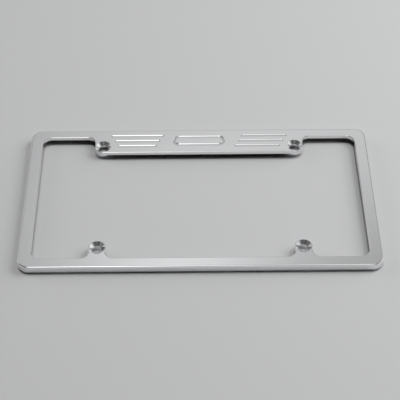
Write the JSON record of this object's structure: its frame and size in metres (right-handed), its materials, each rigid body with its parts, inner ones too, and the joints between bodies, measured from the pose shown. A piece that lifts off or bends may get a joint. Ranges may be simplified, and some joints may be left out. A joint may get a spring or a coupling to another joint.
{
  "type": "number plate holder",
  "caption": "Flat rectangular frame that borders a number plate, with a wide banner bar, countersunk holes in ears and a recessed back that the plate sits in.",
  "frame": {"origin": "on the surface that the back rim lies on, under the middle of the outline", "axes": "+X along the plate's width, to the right as read; +Y towards the plate's top edge; +Z out of the face"},
  "size_m": [0.313, 0.1634, 0.008],
  "materials": {
    "polished_aluminium": "polished"
  },
  "bodies": {
    "root": {"plate_frame": "polished_aluminium"}
  },
  "joints": []
}
